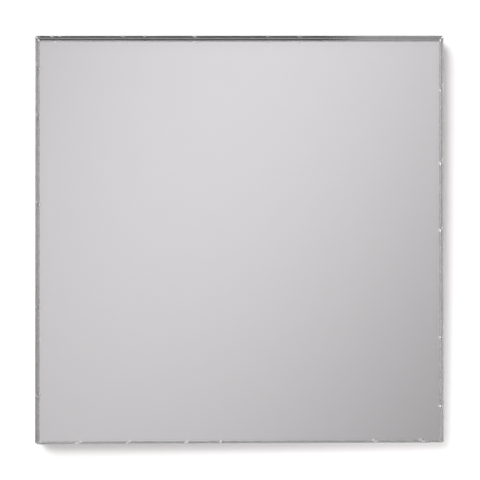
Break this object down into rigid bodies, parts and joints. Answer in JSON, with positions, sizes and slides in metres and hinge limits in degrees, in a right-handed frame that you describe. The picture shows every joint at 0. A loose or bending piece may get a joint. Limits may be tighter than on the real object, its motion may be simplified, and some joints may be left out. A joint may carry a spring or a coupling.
{
  "type": "flat square mirror tile",
  "caption": "Small square frameless glass mirror tile with ground edges and lightly broken corners, silvered, coppered and painted on its back.",
  "frame": {"origin": "under the centre of the tile, on the plane of the painted back that it lies on", "axes": "+Z out of the mirror's face, +Y towards the rear edge, +X towards the right edge"},
  "size_m": [0.1, 0.1, 0.0041],
  "materials": {
    "float_glass": "clear float glass, polished faces and ground arrises",
    "silver": "silvered, mirror bright",
    "copper": "thin chemical copper",
    "base_paint": "matt red-brown protective paint",
    "top_paint": "satin grey back paint"
  },
  "bodies": {
    "root": {"glass_pane": "float_glass", "silver_coat": "silver", "copper_coat": "copper", "base_paint_coat": "base_paint", "top_paint_coat": "top_paint"}
  },
  "joints": []
}
